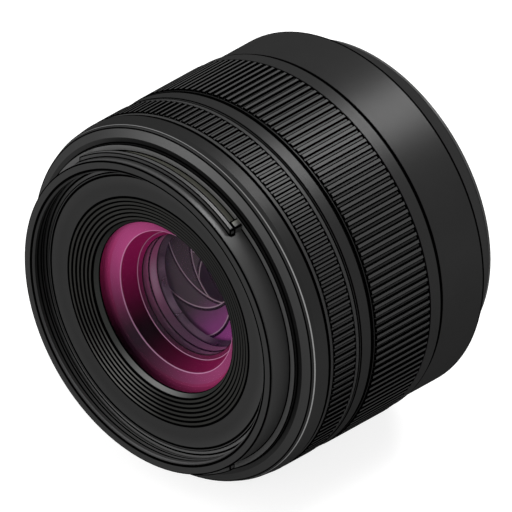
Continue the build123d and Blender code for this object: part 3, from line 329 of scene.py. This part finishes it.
def front_ring_finish():
    """The rim with its thread, the hood's seat and lugs, the flange, the slope and the wide band."""
    net = Finish("front_ring_finish")
    base, fine = coat(net, "121212", "101010")
    face = net.past(net.ahead, RIM_H - 0.45, soft=0.05)
    slope = net.past(net.ahead, CREST_H - 0.01, soft=0.01) * net.past(net.r, CONE_R, soft=0.05)
    land = net.band(net.r, LAND_R - 0.2, LUG_R + 0.1, soft=0.02) * (1.0 - face)
    under_lug = net.ramp(net.math("ABSOLUTE", net.x), LUG_STOP_X, LUG_END_X, 1.0, 0.0)
    seat = net.band(net.ahead, FLANGE_H + 0.02, LUG_REAR_H + 0.1, soft=0.02)
    seat = seat * net.past(net.r, LAND_R - 0.15, soft=0.05)
    flange = net.band(net.ahead, FLANGE_H - 0.05, FLANGE_H + 0.05, soft=0.02)
    flange = flange * net.past(net.r, LAND_R + 0.05, soft=0.05)
    bore = 1.0 - net.past(net.r, FILTER_R + 0.65, soft=0.05)
    bore = bore * (1.0 - net.past(net.ahead, RIM_H - 0.25, soft=0.05))
    base = net.mix(base, "272727", face)
    # Painted highlight: the slope is painted lighter round 80 degrees, near the top.
    base = net.mix(base, net.mix("2c2c2c", "585858", net.catch(angle=80.0, width=45.0)), slope)
    base = net.mix(base, net.mix("353535", "404040", under_lug), land)
    base = net.mix(base, "62625a", seat * under_lug)
    base = net.mix(base, net.mix("585858", "6a6a6a", under_lug), flange)
    # The thread wall is painted lighter deeper in, and darker on its left side with painted shade.
    wall = net.mix("606060", "444444", net.ramp(net.ahead, NAME_H, RIM_H - 0.4))
    base = net.mix(base, net.mix(wall, "141414", net.catch(angle=178.0, width=85.0) * 0.85), bore)
    # Painted highlight: a light line along the crest edge, painted brighter towards the right.
    crest_highlight = [(CREST_R + 0.1, CREST_H - 0.55)]
    base = net.mix(base, "727272", net.circles(crest_highlight, half=0.065))
    base = net.mix(base, "b4b4b4", net.circles(crest_highlight, half=0.11) * net.catch(angle=-5.0, width=75.0))
    ends = net.circles([(LAND_R - 0.05, RIM_H - 0.05), (BARREL_R - 0.05, FRONT_REAR_H + 0.1)])
    steps = net.circles([(LAND_R, FLANGE_H), (FLANGE_R, FLANGE_H), (FLANGE_R, CONE_H)], half=0.15)
    rim = net.circles([(RIM_INNER_R, RIM_H)], half=0.22)
    crest = net.circles([(CREST_R - 0.22, CREST_H - 0.05)], half=0.13)
    turns = [(FILTER_R, station) for station in THREAD_LINES_H]
    thread = net.circles(turns + [(THREAD_FOOT_R, THREAD_FOOT_H)], half=0.16)
    lines = net.either(ends, steps, rim, crest, thread, lug_lines(net))
    return net.out(matt(net, base, fine, lines, sheen=0.0165))


def name_ring_finish():
    net = Finish("name_ring_finish")
    base, fine = coat(net, "2a2a2a", "272727", grain=0.15)
    # Painted light: the face is painted lighter towards its outer edge, to offset the shade next to the
    # wall.
    base = net.mix(base, "393939", net.ramp(net.r, NAME_MIDDLE_R, NAME_R))
    lines = net.circles([(NAME_R, NAME_H), (NAME_GROOVE_R, NAME_H), (BAFFLE_R + 0.02, NAME_H)])
    return net.out(matt(net, base, fine, lines, rough=0.5, grain=0.2))


def baffle_finish():
    """The steps carry a painted highlight at the lower left and are painted darker towards the upper right.
    """
    net = Finish("baffle_finish")
    base, fine = coat(net, "262624", "222220")
    base = net.mix(base, "171716", net.catch(angle=35.0, width=100.0))
    base = net.mix(base, "5e5e5c", net.catch(angle=-118.0, width=34.0))
    corners = [(BAFFLE_R - BAFFLE_STEP * i, NAME_H - BAFFLE_FALL * i) for i in range(BAFFLE_STEPS + 1)]
    return net.out(matt(net, base, fine, net.circles(corners, half=0.2), rough=0.5))


def retaining_ring_finish():
    net = Finish("retaining_ring_finish")
    base, fine = coat(net, "2c2e2c", "282a28")
    # Painted highlight at the bottom of the ring.
    base = net.mix(base, "787978", net.catch(angle=-98.0, width=42.0))
    lines = net.circles([(RETAINER_R, RETAINER_H), (GLASS_R, GLASS_EDGE_H)], half=0.16)
    return net.out(matt(net, base, fine, lines, rough=0.4))


def band_finish(name, corners, half, light="1e1e1e", dark="1a1a1a"):
    """A smooth band with dark lines at its corners."""
    net = Finish(name)
    base, fine = coat(net, light, dark)
    return net.out(matt(net, base, fine, net.circles(corners, half)))


def ribbed_finish(name, count, share, low, high, land, groove, lip, corners):
    """Straight ribs between two stations, with dark lines along them and smooth lips beyond them."""
    net = Finish(name)
    base, fine = coat(net, lip, lip)
    edges, on_land = net.stripes(count, share, half=0.13)
    inside = net.band(net.ahead, low, high, soft=0.02)
    ribs = net.mix(groove, land, on_land)
    wear = net.noise(scale=500.0, detail=3.0)
    ribs = net.mix(ribs, land, net.ramp(wear, 0.45, 0.75) * 0.25)
    ends = [net.band(net.ahead, end - 0.16, end + 0.16, soft=0.03) for end in (low, high)]
    lines = net.either(edges * inside, *ends, net.circles(corners))
    return net.out(matt(net, net.mix(base, ribs, inside), fine, lines, rough=0.45))


# Finishes behind the front glass
def painted_reflection(net, angle):
    """How strongly the painted reflection of the glass coating's colour shows on a wall: strongest at
    angle, less so opposite it, and weaker towards the lower right.
    """
    swing = net.math("COSINE", (net.turn - angle) * math.radians(2.0))
    return (swing * 0.5 + 0.5) * net.ramp(net.x - net.z, -8.0, 12.0, 1.0, 0.45)


def lower_right(net, low, high):
    """0 up to low and 1 from high, in mm from the axis towards the lower right."""
    return net.ramp((net.x - net.z) * 0.7, low, high)


def dull(net, base):
    """A dull surface with hardly any shine."""
    grain = net.noise(scale=200.0, detail=2.0)
    return net.surface(Base_Color=base, Roughness=net.spread(grain, 0.5, 0.6), Specular_IOR_Level=0.1)


def front_cell_finish():
    """Walls behind the front glass, painted with the coating's coloured reflection: magenta where the
    painted reflection falls, dark elsewhere.
    """
    net = Finish("front_cell_finish")
    lit = painted_reflection(net, angle=140.0)
    inner = 1.0 - net.past(net.ahead, CELL_BORE_FRONT_H, soft=0.05)
    ledge = net.mix("1c121a", "d0609c", lit)
    rim = net.mix(net.mix("22101c", "d04888", lit), ledge, net.catch(angle=130.0, width=50.0))
    cone = net.mix("040204", "b4246c", lit)
    bore = net.mix("7c727c", "f8a4d0", painted_reflection(net, angle=160.0))
    base = net.mix(cone, ledge, net.past(net.ahead, LEDGE_H, soft=0.02))
    base = net.mix(base, rim, net.past(net.r, CELL_RIM_R, soft=0.05))
    base = net.mix(base, bore, inner)
    # A painted highlight streak in the bore, on the left.
    streak = net.band(net.ahead, STREAK_REAR_H, STREAK_FRONT_H, soft=0.3) * inner
    base = net.mix(base, "fff0fa", streak * net.catch(angle=-168.0, width=30.0))
    # Painted highlight along the ledge's edge.
    ledge_highlight = net.circles([(LEDGE_R, LEDGE_H + 0.03)], half=0.1)
    base = net.mix(base, net.mix("a88ca0", "eeaed2", lit), ledge_highlight)
    lines = net.circles([(CELL_BORE_R, SECOND_SEAT_H), (CELL_BORE_R, CELL_BORE_REAR_H)], half=0.17)
    return net.out(dull(net, net.mix(base, INK, lines)))


def second_ring_finish():
    """The ring round the second glass, with a bright bevel."""
    net = Finish("second_ring_finish")
    # The coating's reflection is painted on the ring.
    base = net.mix("1e141e", "8c1c58", painted_reflection(net, angle=140.0))
    base = net.mix(base, "b890a8", net.past(net.r, SECOND_BEVEL_R, soft=0.02))
    lines = net.circles([(SECOND_RING_R, station) for station in SECOND_RING_LINES_H], half=0.14)
    return net.out(dull(net, net.mix(base, INK, lines)))


def iris_cover_finish():
    net = Finish("iris_cover_finish")
    # The coating's reflection is painted on the cover.
    base = net.mix("241a24", "c05c90", painted_reflection(net, angle=155.0))
    lines = net.circles([(HOOD_R, HOOD_H), (COVER_R, COVER_H)], half=0.17)
    return net.out(dull(net, net.mix(base, INK, lines)))


def blade_finish(index):
    """One iris blade: grey, with a painted violet reflection towards the lower right, painted lighter
    towards the top, a painted highlight along its inner edge, and a dark line.

    The inner edge is an arc. Its centre lies on the axis when the iris is open, and closing swings it
    about the blade's pivot.
    """
    net = Finish("blade_finish_%d" % (index + 1))
    bearing = math.radians(FIRST_BLADE_ANGLE + index * 360.0 / BLADES)
    closing = math.radians(RING_FROM_OPEN / RING_PER_BLADE)
    outward = BLADE_PIVOT_R - BLADE_PIVOT_R * math.cos(closing)
    sideways = -BLADE_PIVOT_R * math.sin(closing)
    dx = net.x - (outward * math.cos(bearing) - sideways * math.sin(bearing))
    dz = net.z - (outward * math.sin(bearing) + sideways * math.cos(bearing))
    reach = net.math("SQRT", dx * dx + dz * dz)
    brushed = net.noise(scale=500.0, detail=2.0)
    grey = "485048" if index % 2 else "3c433c"
    # Painted reflection: violet towards the lower right.
    base = net.mix(grey, "a860a4", lower_right(net, 0.0, 9.0))
    # Painted light: lighter towards the top.
    base = net.mix(base, "b4b8b0", net.ramp(net.z * 0.8 + net.x * 0.5, 0.0, 7.5) * 0.85)
    base = net.mix(base, "404440", net.ramp(brushed, 0.4, 0.8) * 0.06)
    # Painted highlight along the inner edge.
    base = net.mix(base, "b0b8b0", 1.0 - net.past(reach, BLADE_EDGE_R, soft=0.01))
    base = net.mix(base, "000000", net.band(reach, BLADE_EDGE_R + 0.03, BLADE_EDGE_R + 0.43, soft=0.02))
    return net.out(net.surface(Base_Color=base, Roughness=net.spread(brushed, 0.4, 0.5),
                               Specular_IOR_Level=0.15))


def carriage_finish():
    """Bead-blasted light metal, seen through the iris."""
    net = Finish("carriage_finish")
    grain = net.noise(scale=300.0, detail=3.0)
    return net.out(net.surface(Base_Color=net.mix("b8b0c0", "c4bccc", grain),
                               Roughness=net.spread(grain, 0.5, 0.6), Specular_IOR_Level=0.2))


# Glass
def coated(net, shine="5d4b89"):
    """Clear glass that mirrors a little in its coating's colour, more so at a slant."""
    facing = net.node("ShaderNodeLayerWeight", {"Blend": 0.35}, output="Facing")
    through = net.node("ShaderNodeBsdfTransparent", {"Color": "fcf6fa"})
    gloss = net.node("ShaderNodeBsdfGlossy", {"Color": shine, "Roughness": 0.06})
    return net.blend(through, gloss, net.ramp(facing, 0.1, 1.0, start=0.003, end=0.025))


def front_glass_finish():
    net = Finish("front_glass")
    return net.out(coated(net, shine="893866"))


def second_glass_finish():
    """A faint matte layer painted on the glass as the coating's reflection, turning violet towards the
    lower right.
    """
    net = Finish("second_glass")
    tint = net.mix("c4c0d0", "a048c0", lower_right(net, 2.0, 9.0))
    painted_violet_reflection = net.surface(Base_Color=tint, Specular_IOR_Level=0.0)
    return net.out(net.blend(coated(net), painted_violet_reflection, 0.019))


def inner_glass_finish(name, clear_r):
    """Glass with a blackened edge beyond its clear radius."""
    net = Finish(name)
    grain = net.noise(scale=200.0, detail=2.0)
    edge = dull(net, net.mix("1c181c", "262226", grain))
    return net.out(net.blend(coated(net), edge, net.ramp(net.r, clear_r - 0.03, clear_r)))


# Small parts and hidden ones
def hidden_finish(name, light, dark, metallic=0.0, rough=0.35, level=0.5):
    """A finish for pieces that hardly show: two tones and grain."""
    net = Finish(name)
    grain = net.noise(scale=300.0, detail=4.0)
    return net.out(net.surface(Base_Color=net.mix(dark, light, net.spread(grain)), Metallic=metallic,
                               Roughness=net.spread(grain, rough - 0.08, rough + 0.08),
                               Specular_IOR_Level=level, Normal=net.bump(grain, distance=0.01)))


def lathed_finish(name, light, dark, rough):
    """Bright metal with the fine rings of a lathe."""
    net = Finish(name)
    rings = net.noise(scale=6.0, detail=3.0, place=net.profile)
    return net.out(net.surface(Base_Color=net.mix(dark, light, net.spread(rings)), Metallic=1.0,
                               Roughness=net.spread(rings, rough - 0.04, rough + 0.04),
                               Normal=net.bump(rings, distance=0.002)))


inner_black = hidden_finish("inner_black", "262626", "1e1e1e", rough=0.5, level=0.15)

SLOT_FINISHES = {
    "barrel_black": inner_black,
    "grip_rubber": inner_black,
    "gasket_rubber": hidden_finish("gasket_finish", "1c1c1c", "141414", rough=0.7),
    "name_ring_black": name_ring_finish(),
    "baffle_black": baffle_finish(),
    "inner_aluminium": hidden_finish("inner_metal", "8d8f92", "6f7174", metallic=0.9),
    "brass": hidden_finish("brass_metal", "c9a24a", "a8833a", metallic=0.9),
    "mount_chrome": lathed_finish("mount_metal", "bcbec0", "a8aaad", rough=0.28),
    "screw_steel": hidden_finish("screw_metal", "8a8a8c", "606062", metallic=1.0, rough=0.3),
    "blade_black": iris_cover_finish(),
    "lens_glass": inner_glass_finish("rear_glass", clear_r=11.5),
    "contact_plastic": hidden_finish("contact_plastic", "26262a", "1c1c1f", rough=0.5),
    "contact_gold": hidden_finish("contact_gold", "e0b858", "b88c34", metallic=1.0, rough=0.25),
    "board_green": hidden_finish("board_finish", "1f5a36", "184a2c", rough=0.4),
    "chip_black": hidden_finish("chip_finish", "242426", "18181a", rough=0.5),
    "flex_amber": hidden_finish("flex_finish", "b87a28", "96601c"),
}

middle_corners = [(BAND_EDGE_R, BAND_REAR_H + 0.15), (BAND_EDGE_R, BAND_FRONT_H - 0.15)]
aperture_corners = [(APERTURE_EDGE_R, APERTURE_REAR_H + 0.1), (APERTURE_EDGE_R, APERTURE_FRONT_H - 0.1)]
focus_corners = [(FOCUS_EDGE_R, FOCUS_REAR_H + 0.12), (FOCUS_EDGE_R, FOCUS_FRONT_H - 0.12),
                 (FOCUS_EDGE_R, GRIP_REAR_H), (FOCUS_EDGE_R, GRIP_FRONT_H)]
grip_corners = [(GRIP_R, GRIP_REAR_H), (GRIP_R, GRIP_FRONT_H)]
rear_corners = [(REAR_EDGE_R, REAR_FRONT_H - 0.12), (REAR_EDGE_R, TAPER_H), (TAPER_FOOT_R, TAPER_FOOT_H)]

NODE_FINISHES = {
    "front_ring": front_ring_finish(),
    "front_retaining_ring": retaining_ring_finish(),
    "front_cell": front_cell_finish(),
    "second_retaining_ring": second_ring_finish(),
    "front_element": front_glass_finish(),
    "second_element": second_glass_finish(),
    "doublet_front_element": inner_glass_finish("doublet_front_glass", clear_r=8.8),
    "doublet_rear_element": inner_glass_finish("doublet_rear_glass", clear_r=8.8),
    "fifth_element": inner_glass_finish("fifth_glass", clear_r=10.0),
    "focus_carriage": carriage_finish(),
    "main_barrel": band_finish("middle_band_finish", middle_corners, half=0.14),
    "aperture_ring": ribbed_finish("aperture_ring_finish", count=158, share=0.5, low=APERTURE_RIBS_REAR_H,
                                   high=APERTURE_RIBS_FRONT_H, land="343434", groove="383838", lip="303030",
                                   corners=aperture_corners),
    "focus_ring": band_finish("focus_ring_finish", focus_corners, half=0.26, light="202020", dark="1c1c1c"),
    # The grip's grooves are painted darker than its ribs, as the shade in them.
    "focus_grip": ribbed_finish("focus_grip_finish", count=148, share=0.56, low=GRIP_REAR_H,
                                high=GRIP_FRONT_H, land="383838", groove="262626", lip="363636",
                                corners=grip_corners),
    "rear_barrel": band_finish("rear_barrel_finish", rear_corners, half=0.26),
}
for number in range(BLADES):
    NODE_FINISHES["iris_blade_%d" % (number + 1)] = blade_finish(number)

for entry in frame["record"]["subparts"]:
    target = nodes[entry["node"]]
    finish = NODE_FINISHES.get(entry["node"], SLOT_FINISHES[entry["material_slot"]])
    for place in target.material_slots:
        place.material = finish
    if not target.material_slots:
        target.data.materials.append(finish)

# Front glass
SAME_POINT = 0.001
NEAR_SEAT = 0.02
SHARP_EDGE = 30.0


def front_glass_off_its_seat(body):
    """The front glass again, its flat rear rim a hair off its seat, so that they share no surface."""
    glass = bpy.data.objects.new("front_glass", nodes["front_element"].data.copy())
    bpy.context.collection.objects.link(glass)
    bpy.ops.object.select_all(action="DESELECT")
    glass.select_set(True)
    bpy.context.view_layer.objects.active = glass
    bpy.ops.mesh.customdata_custom_splitnormals_clear()
    bpy.ops.object.mode_set(mode="EDIT")
    bpy.ops.mesh.select_mode(type="VERT")
    bpy.ops.mesh.select_all(action="SELECT")
    bpy.ops.mesh.remove_doubles(threshold=SAME_POINT * MM)
    bpy.ops.mesh.select_all(action="DESELECT")
    bpy.ops.object.mode_set(mode="OBJECT")
    for corner in glass.data.vertices:
        corner.select = abs(-corner.co.y / MM - GLASS_SEAT_H) < NEAR_SEAT
    bpy.ops.object.mode_set(mode="EDIT")
    bpy.ops.transform.translate(value=(0.0, -OFF_SEAT * MM, 0.0))
    bpy.ops.object.mode_set(mode="OBJECT")
    bpy.ops.object.shade_smooth_by_angle(angle=math.radians(SHARP_EDGE))
    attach(glass, body)
    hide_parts("front_element")


front_glass_off_its_seat("lens_barrel")

# Camera
AZIMUTH = math.radians(43.3)
ELEVATION = math.radians(31.3)
CAMERA_AWAY = 0.6
VIEW_WIDTH = 0.0785
aim = Vector((-0.0011, -0.02347, -0.00059))
level = Vector((math.sin(AZIMUTH), -math.cos(AZIMUTH), 0.0))
back = level * math.cos(ELEVATION) + Vector((0.0, 0.0, math.sin(ELEVATION)))
bpy.ops.object.camera_add(location=aim + back * CAMERA_AWAY)
camera = bpy.context.object
camera.rotation_euler = (-back).to_track_quat("-Z", "Y").to_euler()
camera.data.type = "ORTHO"
camera.data.ortho_scale = VIEW_WIDTH
camera.data.clip_end = 5.0
bpy.context.scene.camera = camera


# Lights
def lamp(name, direction, distance, size, power):
    """A square lamp that looks at the lens from this direction."""
    way = Vector(direction).normalized()
    bpy.ops.object.light_add(type="AREA", location=aim + way * distance)
    made = bpy.context.object
    made.name = name
    made.rotation_euler = (-way).to_track_quat("-Z", "Y").to_euler()
    made.data.size = size
    made.data.energy = power


lamp("rear_key", (0.157, 0.622, 0.767), distance=0.5, size=0.2, power=2.8)
lamp("front_fill", (-0.6, -0.6, 0.5), distance=0.6, size=0.5, power=1.7)
lamp("front_glint", (0.16, -0.95, 0.27), distance=0.6, size=0.4, power=1.0)

# World and floor
SKY_LIGHT = 0.45
FLOOR_SIZE = 4.0
FLOOR_Z = -0.0301

world = bpy.data.worlds.new("studio")
bpy.context.scene.world = world
world.use_nodes = True
studio = Net(world.node_tree)
sky = studio.node("ShaderNodeBackground", {"Color": WHITE, "Strength": SKY_LIGHT})
backdrop = studio.node("ShaderNodeBackground", {"Color": WHITE})
studio.node("ShaderNodeOutputWorld", {"Surface": studio.blend(sky, backdrop, studio.seen())})

bpy.ops.mesh.primitive_plane_add(size=FLOOR_SIZE, location=(0.0, 0.0, FLOOR_Z))
floor = bpy.context.object
floor.name = "floor"
paper = Finish("floor_finish")
fibre = paper.noise(scale=400.0, detail=2.0)
floor.data.materials.append(paper.out(paper.surface(
    Base_Color=paper.mix("9c9c9c", "a0a0a0", fibre), Roughness=0.9, Specular_IOR_Level=0.0,
    Emission_Color=paper.mix("000000", "ececec", paper.seen()), Emission_Strength=1.0)))

bpy.context.scene.view_settings.view_transform = "Standard"
